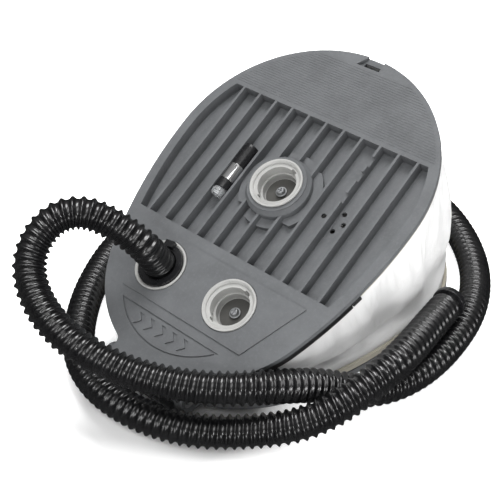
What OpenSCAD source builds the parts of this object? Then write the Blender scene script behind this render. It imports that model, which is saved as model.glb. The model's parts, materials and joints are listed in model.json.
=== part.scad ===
// Foot-operated bellows pump for inflatable boats: an egg-shaped base and pedal, hinged at
// the nose, with a coated-fabric bellows between them and a ribbed hose coiled round the base.
// Frame: origin on the ground under the hinge axis, +X along the hinge, +Y towards the heel,
// +Z up. Pedal pieces are drawn lying flat above the hinge axis, then raised by on_pedal().

/* [Outline] */
// Radius of the wide heel end of the egg-shaped outline
heel_r = 110; // [108:1:112]
// Radius of the narrow nose end
nose_r = 94.5; // [92:0.5:96]
// Radius of the two long flanks
flank_r = 340; // [330:5:360]
// Distance from the hinge axis to the centre of the heel end
heel_y = 184; // [183:1:186]

/* [Pedal] */
// Opening angle of the pedal at rest
open_angle = 28.5; // [27:0.5:30]
// Height of the hinge axis above the ground
hinge_z = 16.6; // [16.6:0.2:18]
// Top face of the pedal above the hinge axis
pedal_h = 12.5; // [12:0.5:13]
// Thickness of the moulded skin
skin = 2.5; // [2:0.25:3]
// Height of the outer rim
rim_h = 4.3; // [4:0.1:5]
// Depth of the ribbed foot recess
recess_depth = 9; // [8:0.5:9.5]
// Spacing of the lengthwise ribs
rib_pitch = 16.6; // [16:0.2:17]
// Thickness of each rib
rib_t = 2; // [1.6:0.2:2.4]
// Number of ribs
rib_count = 11; // [9:2:11]

/* [Ports] */
// Outer radius of a port ring
ring_r = 20.4; // [20:0.1:21]
// Radius of the port bore
bore_r = 15; // [14.5:0.1:15.4]
// Depth of the valve seat below the ring's top
seat_depth = 16.6; // [16.2:0.2:18]
// How far a valve flap lifts
flap_lift = 1.5; // [1:0.1:1.6]

/* [Hose] */
// Outer radius of the hose
hose_r = 12.2; // [11.5:0.1:12.3]
// Inner radius of the hose
hose_bore_r = 9.5; // [9.4:0.1:9.8]

/* [Spring] */
// Number of turns of the return spring
spring_turns = 6; // [5:1:7]
// Radius of the spring's coil
coil_r = 15; // [13:0.5:16]
// Radius of the spring's wire
wire_r = 1.3; // [1:0.1:1.5]

/* [Latch] */
// How far the storage latch leans back at rest
latch_lean = 20; // [16:1:22]

/* [Hidden] */

$fn = 96;
e = 0.1;

// --- Egg outline: heel and nose circles joined by two long flank arcs, tangent at both ends
flank_x = flank_r - heel_r;
flank_to_nose = flank_r - nose_r;
nose_y = heel_y - sqrt(pow(flank_to_nose, 2) - pow(flank_x, 2));
polar_y = 150;

function tangent_y(inset) = nose_y - (nose_r - inset) * (heel_y - nose_y) / flank_to_nose;

// Distance along a ray from the polar centre to a circle round (cx, cy)
function ray_to_circle(bearing, cx, cy, r) =
    let (ox = -cx, oy = polar_y - cy)
    let (b = ox * sin(bearing) + oy * cos(bearing))
    sqrt(b * b - ox * ox - oy * oy + r * r) - b;

// Distance from the polar centre to the outline at a bearing: 0 is the heel, 90 is +X
function edge(bearing, inset = 0) =
    let (heel = ray_to_circle(bearing, 0, heel_y, heel_r - inset))
    let (nose = ray_to_circle(bearing, 0, nose_y, nose_r - inset))
    let (side = sin(bearing) < 0 ? 1 : -1)
    polar_y + heel * cos(bearing) >= heel_y ? heel
    : polar_y + nose * cos(bearing) <= tangent_y(inset) ? nose
    : ray_to_circle(bearing, side * flank_x, heel_y, flank_r - inset);

// The outline drawn from true arcs, moved inwards by inset
module egg(inset = 0) {
    translate([0, heel_y]) circle(heel_r - inset);
    translate([0, nose_y]) circle(nose_r - inset);
    intersection() {
        translate([-flank_x, heel_y]) circle(flank_r - inset, $fn = 360);
        translate([flank_x, heel_y]) circle(flank_r - inset, $fn = 360);
        translate([-heel_r, tangent_y(inset)]) square([2 * heel_r, heel_y - tangent_y(inset)]);
    }
}

// A wall that follows the outline, between two insets
module egg_wall(outer, inner, z0, z1) {
    translate([0, 0, z0]) linear_extrude(z1 - z0) difference() {
        egg(outer);
        egg(inner);
    }
}

module tube(outer, inner, z0, z1) {
    translate([0, 0, z0]) difference() {
        cylinder(r = outer, h = z1 - z0);
        translate([0, 0, -e]) cylinder(r = inner, h = z1 - z0 + 2 * e);
    }
}

module bar_x(r, x0, x1) {
    translate([x0, 0, 0]) rotate([0, 90, 0]) cylinder(r = r, h = x1 - x0);
}

module on_pedal() {
    translate([0, 0, hinge_z]) rotate([open_angle, 0, 0]) children();
}

// --- Rings of points joined into a closed, hollow skin. Each ring has the same point count,
// and the last ring joins the first, so the skin runs out along one side and back on the other
module ring_skin(rings) {
    count = len(rings[0]);
    total = len(rings);
    points = [for (ring = rings) each ring];
    faces = [for (j = [0:total - 1], i = [0:count - 1])
        let (k = (j + 1) % total, m = (i + 1) % count)
        each [[j * count + i, j * count + m, k * count + m],
            [j * count + i, k * count + m, k * count + i]]];
    polyhedron(points, faces, convexity = 10);
}

// --- Levels shared by several pieces
floor_z = 3;
floor_t = 3;
base_rim_z = 8;
spigot_top = 15;
spigot_outer = 4.9;
spigot_inner = 8;
fabric_outer = 3.3;
fabric_t = 0.9;
band_outer = 0.5;
band_inner = 3.2;
rim_bottom = pedal_h - rim_h;
recess_floor = pedal_h - recess_depth;
under_floor = recess_floor - 2;
under_skin = pedal_h - skin;
recess_y0 = 103.8;
recess_y1 = 229;

// --- Hinge
pin_r = 2.5;
pin_clearance = 0.05;
knuckle_r = 6.5;
tongue_x = 31;
lug_x0 = 32;
lug_x1 = 39;
pin_half = 42;
fillet_r = 6;

// --- Ports, each as x, y and the height of the ring's top above the hinge axis
hose_port = [-40.5, 70, pedal_h + 2];
spare_port = [27.9, 70, pedal_h + 2];
centre_port = [0, 166, pedal_h + 6.3];
ports = [hose_port, spare_port, centre_port];
sleeve_r = 19;
sleeve_clearance = 0.1;
gasket_t = 0.6;
flange_t = 1.4;
mouth_r = 17.9;
mouth_depth = 2.5;
lip_r = 19.2;
lip_depth = 1.2;
seat_t = 2;
sleeve_skirt = 3;
boss_bottom = 4;
nut_h = 3;
collar_r = 25.7;
collar_top = centre_port[2] - gasket_t - flange_t;
shelf_r = 33;
shelf_top = recess_floor + 4.2;
chamber_r = 13.6;
bore_depth = 10.4;
slot_r = 16.2;
slot_angle = 18;
slot_bottom = 8;
groove_bottom = 9.5;
groove_h = 3;
twist_angle = 20;
lock_bearing = 60;

module at_port(port) {
    on_pedal() translate(port) children();
}

// --- Base -------------------------------------------------------------------------------
foot_spots = [[-52, 62], [52, 62], [-78, 210], [78, 210], [0, 280]];
foot_r = 9;
stem_r = 2.9;
spring_y = 256;
cup_r = 20;
floor_rib_h = 6;
latch_x = 2.1;
latch_y = 300;
latch_z = 10;
latch_w = 7;

module latch_ears() {
    for (side = [-1, 1]) translate([latch_x + side * (latch_w / 2 + 2.5) - 2, 0, 0]) {
        translate([0, 284, floor_z]) cube([4, latch_y - 284, 4]);
        translate([0, latch_y - 4.5, floor_z]) cube([4, 9, latch_z - floor_z]);
        translate([0, latch_y, latch_z]) bar_x(4.5, 0, 4);
    }
}

module base_plate() {
    color("dimgray") difference() {
        union() {
            translate([0, 0, floor_z]) linear_extrude(floor_t) egg();
            egg_wall(0, 3, floor_z, base_rim_z);
            egg_wall(spigot_outer, spigot_inner, floor_z, spigot_top);
            translate([-lug_x1, -knuckle_r, floor_z]) cube([2 * lug_x1, 22, floor_t]);
            for (side = [-1, 1]) {
                x0 = side > 0 ? lug_x0 : -lug_x1;
                translate([x0, -knuckle_r, floor_z])
                    cube([lug_x1 - lug_x0, 2 * knuckle_r, hinge_z - floor_z]);
                translate([0, 0, hinge_z]) bar_x(knuckle_r, x0, x0 + lug_x1 - lug_x0);
            }
            translate([0, 0, floor_z]) linear_extrude(floor_rib_h) intersection() {
                egg(spigot_inner - 1);
                for (x = [-60, -30, 0, 30, 60]) translate([x - 1, 22]) square([2, 190]);
            }
            latch_ears();
        }
        translate([0, 0, hinge_z]) bar_x(pin_r + pin_clearance, -lug_x1 - 1, lug_x1 + 1);
        translate([0, latch_y, latch_z]) bar_x(1.55, latch_x - 12, latch_x + 12);
        for (spot = foot_spots) translate([spot[0], spot[1], 0]) cylinder(r = stem_r + 0.1, h = 20);
        translate([0, spring_y, floor_z + floor_t]) cylinder(r = cup_r + 1, h = 20);
    }
}

module base_feet() {
    color("black") {
        translate([-28, -5, 0]) cube([56, 10, floor_z]);
        for (spot = foot_spots) translate([spot[0], spot[1], 0]) {
            cylinder(r = foot_r, h = floor_z);
            cylinder(r = stem_r, h = floor_z + floor_t + 1.5);
        }
    }
}

module hinge_pin() {
    color("silver") translate([0, 0, hinge_z]) bar_x(pin_r, -pin_half, pin_half);
}

module pin_clips() {
    color("gray") for (side = [-1, 1]) translate([side * (lug_x1 + 1.2), 0, hinge_z])
        rotate([0, 90, 0]) tube(5, pin_r + 0.02, -0.6, 0.6);
}

// The band is open at the nose, where the hinge knuckle passes
module lower_clamp_band() {
    color("ivory") difference() {
        egg_wall(band_outer, band_inner, base_rim_z + 0.5, 13);
        translate([-tongue_x, -10, 0]) cube([2 * tongue_x, 24, 20]);
    }
}

module lower_spring_cup() {
    color("white") translate([0, spring_y, floor_z + floor_t]) {
        cylinder(r = cup_r, h = 1);
        tube(cup_r, cup_r - 2, 0, 5);
        cylinder(r = coil_r - wire_r - 1.5, h = 5);
    }
}

module latch_pin() {
    color("silver") translate([0, latch_y, latch_z])
        bar_x(1.5, latch_x - latch_w / 2 - 5, latch_x + latch_w / 2 + 5);
}

// --- Bellows: rings that fan out about the hinge, from the base spigot to the pedal spigot
bellows_steps = 14;
bellows_sides = 72;
bellows_bottom = base_rim_z + 0.6 - hinge_z;
bellows_top = rim_bottom - 0.4;
fold_low = spigot_top + 0.6 - hinge_z;
fold_high = 3.5;
bulge = 2.2;
tuck = 11;
tuck_span = 0.34;
slack_y0 = 22;
slack_y1 = 110;
tuck_y0 = 100;
tuck_y1 = 210;
heel_tuck = 0.25;

// Distance along the base, from the hinge, of the outline's point at a bearing
function edge_y(bearing) = polar_y + edge(bearing) * cos(bearing);

// How far the skin stands out of its clamped line: full above, and tucked in low down, most
// beside the nose and least at the heel
function belly(t, y) = bulge * sin(180 * t)
    - (t < tuck_span ? tuck * pow(sin(180 * t / tuck_span), 2) : 0)
        * (1 - (1 - heel_tuck) * max(0, min(1, (y - tuck_y0) / (tuck_y1 - tuck_y0))));

// The skin stays on its line beside the hinge and is slack from the flanks to the heel
function slack(y) = max(0, min(1, (y - slack_y0) / (slack_y1 - slack_y0)));

// One ring: turned about the hinge by fan, at a height above that turned plane; t is the share
// of the way up, which sets how far the skin stands out
function bellows_ring(fan, height, inset, t) = [for (i = [0:bellows_sides - 1])
    let (bearing = i * 360 / bellows_sides, line_y = edge_y(bearing))
    let (r = edge(bearing, inset - belly(t, line_y) * slack(line_y)))
    let (y = polar_y + r * cos(bearing))
    [r * sin(bearing), y * cos(fan) - height * sin(fan),
        y * sin(fan) + height * cos(fan) + hinge_z]];

function bellows_stations() = concat([[0, bellows_bottom, 0]],
    [for (i = [0:bellows_steps]) let (t = i / bellows_steps)
        [t * open_angle, fold_low + t * (fold_high - fold_low), t]],
    [[open_angle, bellows_top, 1]]);

module bellows() {
    stations = bellows_stations();
    last = len(stations) - 1;
    color("white") ring_skin(concat(
        [for (s = stations) bellows_ring(s[0], s[1], fabric_outer, s[2])],
        [for (i = [last:-1:0]) let (s = stations[i])
            bellows_ring(s[0], s[1], fabric_outer + fabric_t, s[2])]));
}

// --- A round rod or tube along a path, its rings carried from one point to the next
function along(path, i) = let (n = len(path) - 1)
    let (d = path[min(i + 1, n)] - path[max(i - 1, 0)]) d / norm(d);

function square_to(v, t) = let (p = v - (v * t) * t) p / norm(p);

function carried(path, start) = [for (
    i = 0, u = square_to(start, along(path, 0));
    i < len(path);
    i = i + 1, u = i < len(path) ? square_to(u, along(path, i)) : u) u];

function path_ring(centre, u, t, r, sides) = let (v = cross(t, u))
    [for (i = [0:sides - 1]) let (a = i * 360 / sides)
        centre + r * (cos(a) * u + sin(a) * v)];

module path_tube(path, outer, inner, sides, start) {
    frames = carried(path, start);
    last = len(path) - 1;
    ring_skin(concat(
        [for (i = [0:last]) path_ring(path[i], frames[i], along(path, i), outer, sides)],
        [for (i = [last:-1:0]) path_ring(path[i], frames[i], along(path, i), inner, sides)]));
}

module path_rod(path, r, sides, start) {
    frames = carried(path, start);
    n = len(path);
    points = [for (i = [0:n - 1]) each path_ring(path[i], frames[i], along(path, i), r, sides)];
    walls = [for (j = [0:n - 2], i = [0:sides - 1]) let (m = (i + 1) % sides)
        each [[j * sides + i, j * sides + m, (j + 1) * sides + m],
            [j * sides + i, (j + 1) * sides + m, (j + 1) * sides + i]]];
    first_cap = [for (i = [sides - 1:-1:0]) i];
    last_cap = [for (i = [0:sides - 1]) (n - 1) * sides + i];
    polyhedron(points, concat(walls, [first_cap, last_cap]), convexity = 10);
}

// Turns a point given in the pedal's flat frame by fan about the hinge
function fanned(p, fan) = [p[0], p[1] * cos(fan) - p[2] * sin(fan),
    p[1] * sin(fan) + p[2] * cos(fan) + hinge_z];

// --- Return spring: a coil whose centre line is an arc about the hinge
spring_low = floor_z + floor_t + 1.1 + wire_r - hinge_z;
spring_high = -wire_r - 0.2;
spring_steps = 20 * spring_turns;

function eased(s) = s * s * (3 - 2 * s);

function spring_path() = [for (i = [0:spring_steps])
    let (s = i / spring_steps, a = 360 * spring_turns * s)
    let (height = spring_low + s * (spring_high - spring_low))
    fanned([coil_r * sin(a), spring_y + coil_r * cos(a), height], open_angle * eased(s))];

module return_spring() {
    color("silver") path_rod(spring_path(), wire_r, 8, [0, 1, 0]);
}

// --- Hose lay: bearing round the base in degrees, gap from the base's edge and level above
// the ground, both in hose radii. It loops over the nose, then goes one and a half times round
hose_lay = [
    [-156.5, -1.3, 7.9], [-150.5, 1.0, 9.5], [-150, 3.3, 9.4], [-154, 4.9, 7.7],
    [-160, 4.9, 6.3], [-168, 4.4, 5.4], [-176, 3.7, 4.7], [-184, 2.8, 4.0], [-194, 2.1, 3.7],
    [-203, 1.9, 3.7], [-214, 1.7, 3.7], [-224, 1.2, 2.75], [-234, 1.35, 1.9],
    [-244, 2.25, 1.2], [-256, 2.75, 1], [-270, 2.75, 1], [-285, 2.4, 1], [-300, 2.0, 1],
    [-328, 1.6, 1], [-346, 2.1, 1], [-360, 2.5, 1], [-400, 2.5, 1], [-450, 2.8, 1],
    [-478, 2.9, 1], [-497, 2.3, 1], [-509, 2.3, 1], [-520, 2.7, 1], [-532, 2.9, 1],
    [-545, 2.75, 1], [-560, 2.7, 1], [-571, 2.4, 1], [-582, 3.15, 1.55], [-591, 3.7, 2.4],
    [-600, 3.55, 3.15], [-610, 3.15, 3.5], [-619, 2.6, 3.4], [-627, 2.1, 3.15],
    [-635, 1.72, 3], [-646, 1.45, 2.9]];
hose_start = hose_port + [0, 0, -6];
hose_steps = 4;
cuff_bore_r = 8;
cuff_grip = 8;
cuff_l = 5;

// A point's bearing, gap and level in the frame of the lay
function as_lay(p) = let (bearing = atan2(p[0], p[1] - polar_y))
    [bearing, (norm([p[0], p[1] - polar_y]) - edge(bearing)) / hose_r, p[2] / hose_r];

function from_lay(q) = let (r = edge(q[0]) + q[1] * hose_r)
    [r * sin(q[0]), polar_y + r * cos(q[0]), q[2] * hose_r];

hose_rows = concat(
    [for (rise = [0, 16, 30]) as_lay(fanned(hose_start + [0, 0, rise], open_angle))], hose_lay);

// Uniform cubic B-spline through rows of numbers, straight at both ends
function spline_rows(rows, steps) =
    let (n = len(rows))
    let (c = concat([2 * rows[0] - rows[1]], rows, [2 * rows[n - 1] - rows[n - 2]]))
    concat([for (i = [0:n - 2], j = [0:steps - 1]) let (t = j / steps)
        (pow(1 - t, 3) * c[i] + (3 * pow(t, 3) - 6 * t * t + 4) * c[i + 1]
            + (-3 * pow(t, 3) + 3 * t * t + 3 * t + 1) * c[i + 2] + pow(t, 3) * c[i + 3]) / 6],
        [rows[n - 1]]);

hose_path = [for (q = spline_rows(hose_rows, hose_steps)) from_lay(q)];
hose_end = hose_path[len(hose_path) - 1];
hose_end_dir = along(hose_path, len(hose_path) - 1);

module hose() {
    color([0.08, 0.08, 0.09]) path_tube(hose_path, hose_r, hose_bore_r, 14, [1, 0, 0]);
}

// Stands children on the hose's free end, with +Z along the hose
module at_hose_end() {
    translate(hose_end)
        rotate([0, acos(hose_end_dir[2]), atan2(hose_end_dir[1], hose_end_dir[0])]) children();
}

// Plain end piece: a plug pushed into the hose and a flange that covers its end
module hose_end_cuff() {
    color([0.05, 0.05, 0.06]) at_hose_end() difference() {
        union() {
            translate([0, 0, -cuff_grip]) cylinder(r = hose_bore_r - 0.7, h = cuff_grip + 1);
            translate([0, 0, 0.3]) cylinder(r = hose_r + 0.3, h = cuff_l - 0.3);
        }
        translate([0, 0, -cuff_grip - e]) cylinder(r = cuff_bore_r, h = cuff_grip + cuff_l + 2 * e);
    }
}

// --- Pedal ------------------------------------------------------------------------------
vent_centre = [49.8, 164.7];
vent_spread = 8.9;
vent_r = 2;

// The rib beside the vents carries three notches, each as start along the pedal and length
notch_rib = 3;
notches = [[177, 8], [197, 8], [211, 8]];
notch_depth = 3;

module in_recess(y0, y1, inset) {
    intersection() {
        egg(inset);
        translate([-heel_r, y0]) square([2 * heel_r, y1 - y0]);
    }
}

// Hinge tongue in plan, with a fillet where it leaves the nose
module tongue_plan() {
    fillet_x = tongue_x + fillet_r;
    fillet_y = nose_y - sqrt(pow(nose_r + fillet_r, 2) - pow(fillet_x, 2));
    translate([-tongue_x, -knuckle_r]) square([2 * tongue_x, 30]);
    for (side = [-1, 1]) difference() {
        polygon([[side * tongue_x, fillet_y], [side * fillet_x, fillet_y],
            [side * (fillet_x - 2), fillet_y + fillet_r], [side * tongue_x, fillet_y + 9]]);
        translate([side * fillet_x, fillet_y]) circle(fillet_r);
    }
}

module ribs() {
    for (i = [-(rib_count - 1) / 2:(rib_count - 1) / 2]) {
        difference() {
            translate([0, 0, under_floor]) linear_extrude(pedal_h - under_floor) intersection() {
                egg(spigot_inner - 1);
                translate([i * rib_pitch - rib_t / 2, recess_y0 - 1])
                    square([rib_t, recess_y1 - recess_y0 + 2]);
            }
            if (i == notch_rib) for (n = notches)
                translate([i * rib_pitch - rib_t, n[0], pedal_h - notch_depth])
                    cube([2 * rib_t, n[1], notch_depth + 1]);
        }
    }
}

// Trapezoid panel round the nose ports
module nose_panel() {
    polygon([[-79.7, 94.6], [79.7, 94.6], [58.1, 43.7], [-58.1, 43.7]]);
}

// Leaf-shaped badge outline engraved on the nose, and the plain chevrons that decorate it
badge_r = 66;
badge_centre = [-4, 82];
badge_chord = 36.5;
badge_line = 1.2;
badge_line_depth = 0.9;
mark_w = 4;
mark_h = 5;
mark_pitch = 11;
marks_x = -30;
marks_y = 28;

module badge_plan(inset) {
    intersection() {
        translate(badge_centre) circle(badge_r - inset);
        translate([-60, 0]) square([120, badge_chord - inset]);
    }
}

module badge_marks() {
    for (i = [0:4]) translate([marks_x + i * mark_pitch, marks_y])
        polygon([[0, mark_h], [mark_w, mark_h], [mark_w + mark_h, 0], [mark_w, -mark_h],
            [0, -mark_h], [mark_h, 0]]);
}

// Fine ridges across the heel
tread_h = 0.25;

module tread() {
    intersection() {
        egg(3.5);
        for (y = [233:2.1:282]) translate([-heel_r, y]) square([2 * heel_r, 1]);
    }
}

module centre_collar() {
    translate([centre_port[0], centre_port[1], under_floor]) {
        cylinder(r = collar_r, h = pedal_h - under_floor);
        cylinder(r = collar_r - 2.5, h = collar_top - under_floor);
        translate([0, 0, pedal_h - under_floor])
            cylinder(r1 = collar_r, r2 = collar_r - 2.5, h = collar_top - pedal_h - 1);
        intersection() {
            cylinder(r = shelf_r, h = shelf_top - under_floor);
            union() {
                translate([-shelf_r, -22, 0]) cube([2 * shelf_r, 48, 20]);
                translate([-12, -shelf_r, 0]) cube([28, 2 * shelf_r, 20]);
            }
        }
    }
}

// Notch in the heel's edge for the storage latch, over a thicker pad and with a slot through it
notch_y = 284.5;
heel_notch_depth = 3;

module heel_pad() {
    intersection() {
        egg(0.5);
        translate([-14, notch_y - 3]) square([27, 20]);
    }
}

module heel_notch() {
    translate([0, 0, pedal_h - heel_notch_depth]) linear_extrude(10)
        polygon([[-5.8, 300], [-5.8, 292], [-11, notch_y], [10, notch_y], [10, 300]]);
    translate([-6, notch_y, 0]) cube([14, 4.6, 30]);
}

module pedal_plate() {
    color("slategray") on_pedal() difference() {
        union() {
            difference() {
                union() {
                    translate([0, 0, under_skin]) linear_extrude(skin) egg();
                    egg_wall(0, 2.2, rim_bottom, pedal_h);
                    egg_wall(spigot_outer, spigot_inner, 1, pedal_h);
                    translate([0, 0, under_floor]) linear_extrude(pedal_h - under_floor)
                        in_recess(recess_y0 - 2, recess_y1 + 2, spigot_inner - 1);
                    translate([0, 0, pedal_h]) linear_extrude(1) nose_panel();
                    translate([0, 0, pedal_h]) linear_extrude(tread_h) tread();
                    translate([0, 0, rim_bottom]) linear_extrude(skin) heel_pad();
                    translate([0, 0, rim_bottom]) linear_extrude(rim_h) tongue_plan();
                    bar_x(knuckle_r, -tongue_x, tongue_x);
                    translate([-tongue_x, -knuckle_r, 0])
                        cube([2 * tongue_x, 2 * knuckle_r, rim_bottom + e]);
                }
                translate([0, 0, recess_floor]) linear_extrude(pedal_h)
                    in_recess(recess_y0, recess_y1, spigot_inner);
            }
            ribs();
            centre_collar();
            for (port = [hose_port, spare_port]) translate([port[0], port[1], 0])
                tube(sleeve_r + 2.5, sleeve_r, boss_bottom, pedal_h);
        }
        for (port = ports) translate([port[0], port[1], -10]) {
            cylinder(r = sleeve_r + sleeve_clearance, h = 60);
            translate([0, 0, port[2] + 10 - gasket_t - flange_t])
                cylinder(r = ring_r + 0.6, h = 20);
        }
        translate([0, 0, pedal_h - badge_line_depth]) linear_extrude(3) {
            difference() {
                badge_plan(0);
                badge_plan(badge_line);
            }
            badge_marks();
        }
        for (a = [0:60:300]) translate([vent_centre[0], vent_centre[1], 0]) rotate([0, 0, a])
            translate([vent_spread, 0, 0]) cylinder(r = vent_r, h = recess_floor + 1, $fn = 32);
        heel_notch();
        bar_x(pin_r + pin_clearance, -tongue_x - 1, tongue_x + 1);
    }
}

clip_y = 119;
seal_drop = 6.6;
seal_inner = 2.6;

module upper_clamp_bead() {
    color("ivory") on_pedal() intersection() {
        egg_wall(band_outer, band_inner, rim_bottom - 2.2, rim_bottom - 0.2);
        translate([-heel_r - 1, clip_y + 4, 0]) cube([2 * heel_r + 2, 200, 20]);
    }
}

module nose_seal() {
    color("black") on_pedal() difference() {
        egg_wall(band_outer, seal_inner, rim_bottom - seal_drop, rim_bottom - 0.2);
        translate([-heel_r - 1, clip_y - 4, -10]) cube([2 * heel_r + 2, 200, 40]);
        translate([-tongue_x - fillet_r, -20, -10]) cube([2 * (tongue_x + fillet_r), 60, 40]);
    }
}

module seal_clips() {
    color("black") on_pedal() intersection() {
        egg_wall(-0.8, band_inner, rim_bottom - 3.7, rim_bottom - 0.2);
        translate([-heel_r - 1, clip_y - 3.8, 0]) cube([2 * heel_r + 2, 7.6, 20]);
    }
}

// One port sleeve, drawn with the top of its ring at z = 0: a mouth, the bore that takes the
// connector, a narrower valve chamber and its seat, with entry slots and grooves for two lugs
module sleeve() {
    seat = -seat_depth;
    difference() {
        union() {
            translate([0, 0, -flange_t]) cylinder(r = ring_r, h = flange_t);
            translate([0, 0, seat - seat_t - sleeve_skirt])
                cylinder(r = sleeve_r, h = seat_depth + seat_t + sleeve_skirt - e);
        }
        translate([0, 0, -mouth_depth]) cylinder(r = mouth_r, h = mouth_depth + e);
        translate([0, 0, -lip_depth]) cylinder(r1 = mouth_r, r2 = lip_r, h = lip_depth);
        translate([0, 0, -bore_depth]) cylinder(r = bore_r, h = bore_depth);
        translate([0, 0, seat]) cylinder(r = chamber_r, h = seat_depth);
        translate([0, 0, seat - seat_t - sleeve_skirt - e])
            cylinder(r = bore_r, h = sleeve_skirt + e);
        for (a = [0, 180]) rotate([0, 0, a + lock_bearing]) {
            translate([0, 0, -slot_bottom]) rotate_extrude(angle = slot_angle)
                translate([bore_r - 1, 0]) square([slot_r - bore_r + 1.2, slot_bottom]);
            translate([0, 0, -groove_bottom]) rotate([0, 0, -twist_angle])
                rotate_extrude(angle = slot_angle + twist_angle - 0.5)
                    translate([bore_r - 0.8, 0]) square([slot_r - bore_r + 0.8, groove_h]);
        }
        translate([0, 0, seat - seat_t - e]) {
            cylinder(r = 1.55, h = seat_t + 1, $fn = 32);
            for (a = [0:60:300]) rotate([0, 0, a + 30]) translate([8, 0, 0])
                cylinder(r = 2.9, h = seat_t + 1, $fn = 32);
        }
    }
}

module hose_port_sleeve() {
    color("white") at_port(hose_port) sleeve();
}

module spare_port_sleeve() {
    color("white") at_port(spare_port) sleeve();
}

module centre_port_sleeve() {
    color("white") at_port(centre_port) sleeve();
}

module port_gaskets() {
    color("black") for (port = ports) at_port(port)
        tube(ring_r - 0.3, sleeve_r + 0.1, -flange_t - gasket_t + 0.02, -flange_t - 0.02);
}

// Ring nuts that hold the sleeves from below
module port_ring_nuts() {
    color("gray") for (port = ports) {
        below = port == centre_port ? under_floor : boss_bottom;
        on_pedal() translate([port[0], port[1], below - nut_h - 0.02]) difference() {
            cylinder(r = sleeve_r + 5, h = nut_h, $fn = 8);
            translate([0, 0, -e]) cylinder(r = sleeve_r + 0.05, h = nut_h + 1);
        }
    }
}

module upper_spring_cup() {
    color("white") on_pedal() translate([0, spring_y, 0]) {
        tube(cup_r, cup_r - 2, -4, under_skin - 0.05);
        cylinder(r = cup_r - 1, h = 2);
        translate([0, 0, -4]) cylinder(r = coil_r - wire_r - 1.5, h = 5);
    }
}

// Flap stack, up = 1 above the seat and -1 below it: shoulder, flap gap, washer and head
shoulder_h = flap_lift + 1.15;
washer_t = 0.8;

module at_seat(port, up) {
    level = up > 0 ? -seat_depth : -seat_depth - seat_t;
    at_port(port) translate([0, 0, level]) mirror([0, 0, up > 0 ? 0 : 1]) children();
}

module flap(port, up) {
    color([0.15, 0.15, 0.15]) at_seat(port, up) tube(12.5, 2.5, 0.05, 1.05);
}

module screw() {
    translate([0, 0, -seat_t]) cylinder(r = 1.5, h = seat_t, $fn = 32);
    cylinder(r = 2.2, h = shoulder_h, $fn = 32);
    difference() {
        translate([0, 0, shoulder_h + washer_t]) cylinder(r1 = 3.6, r2 = 2.4, h = 2, $fn = 48);
        for (a = [0, 90]) rotate([0, 0, a])
            translate([-2, -0.4, shoulder_h + washer_t + 0.8]) cube([4, 0.8, 2]);
    }
    translate([0, 0, shoulder_h - e]) cylinder(r = 1.5, h = washer_t + 2 * e, $fn = 32);
}

flap_side = [-1, 1, 1];

module valve_screws() {
    color("silver") for (i = [0:2]) at_seat(ports[i], flap_side[i]) screw();
}

module valve_washers() {
    color("gray") for (i = [0:2]) at_seat(ports[i], flap_side[i])
        tube(4.2, 1.6, shoulder_h + 0.02, shoulder_h + washer_t - 0.02);
}

module suction_flap() flap(hose_port, flap_side[0]);

module outlet_flap() flap(spare_port, flap_side[1]);

module centre_flap() flap(centre_port, flap_side[2]);

// --- Relief valve under the vent holes
relief_low = -8;

module at_vent() {
    on_pedal() translate([vent_centre[0], vent_centre[1], 0]) children();
}

module relief_housing() {
    color("white") at_vent() difference() {
        translate([0, 0, relief_low]) cylinder(r = 14, h = under_floor - relief_low - 0.02);
        translate([0, 0, relief_low + 1.5]) cylinder(r = 11.5, h = 20);
        translate([0, 0, relief_low - e]) cylinder(r = 5, h = 3);
    }
}

module relief_poppet() {
    color("red") at_vent() {
        translate([0, 0, relief_low + 1.55]) cylinder(r = 8, h = 1.5);
        translate([0, 0, relief_low + 3]) cylinder(r = 2.5, h = 2.5);
    }
}

module relief_spring() {
    low = relief_low + 3.55;
    high = under_floor - 0.6;
    path = [for (i = [0:60]) let (a = i * 18)
        fanned([vent_centre[0] + 4.5 * cos(a), vent_centre[1] + 4.5 * sin(a),
            low + (high - low) * i / 60], open_angle)];
    color("silver") path_rod(path, 0.4, 8, [0, 0, 1]);
}

// --- Hose connector: flange in the ring's mouth, barrel with two bayonet lugs, and a pilot
// with a ring seal that enters the valve chamber
barrel_r = 14.6;
barrel_bottom = -10.2;
pilot_r = 13.2;
pilot_bottom = -13.6;
seal_r = 13.5;
seal_z = -12.6;
seal_h = 1.4;

module hose_connector() {
    color([0.05, 0.05, 0.06]) at_port(hose_port) difference() {
        union() {
            translate([0, 0, -mouth_depth + 0.1]) cylinder(r = mouth_r - 0.3, h = mouth_depth + 0.5);
            translate([0, 0, barrel_bottom]) cylinder(r = barrel_r, h = -barrel_bottom - 1);
            translate([0, 0, pilot_bottom]) cylinder(r = pilot_r, h = 5);
            for (a = [0, 180]) rotate([0, 0, a + lock_bearing - twist_angle + 1])
                translate([0, 0, -groove_bottom + 0.3]) rotate_extrude(angle = slot_angle - 2)
                    translate([barrel_r - 1, 0]) square([slot_r - barrel_r + 0.8, groove_h - 0.6]);
            rotate([0, 0, 8]) translate([-4, 14, 0]) cube([8, 5, 4.5]);
        }
        translate([0, 0, -6.3]) cylinder(r = hose_r + 0.4, h = 20);
        translate([0, 0, pilot_bottom - e]) cylinder(r = 10, h = 10);
        translate([0, 0, seal_z - 0.1]) tube(pilot_r + 1, pilot_r - 1.2, 0, seal_h + 0.2);
    }
}

module connector_seal() {
    color("black") at_port(hose_port) tube(seal_r, pilot_r - 1.15, seal_z, seal_z + seal_h);
}

// --- Nozzle adapter, clipped between two ribs of the recess
adapter_x = -41.5;
adapter_y = 138.4;
adapter_z = pedal_h - 2;

module along_adapter(y) {
    on_pedal() translate([adapter_x, y, adapter_z]) rotate([-90, 0, 0]) children();
}

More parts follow.
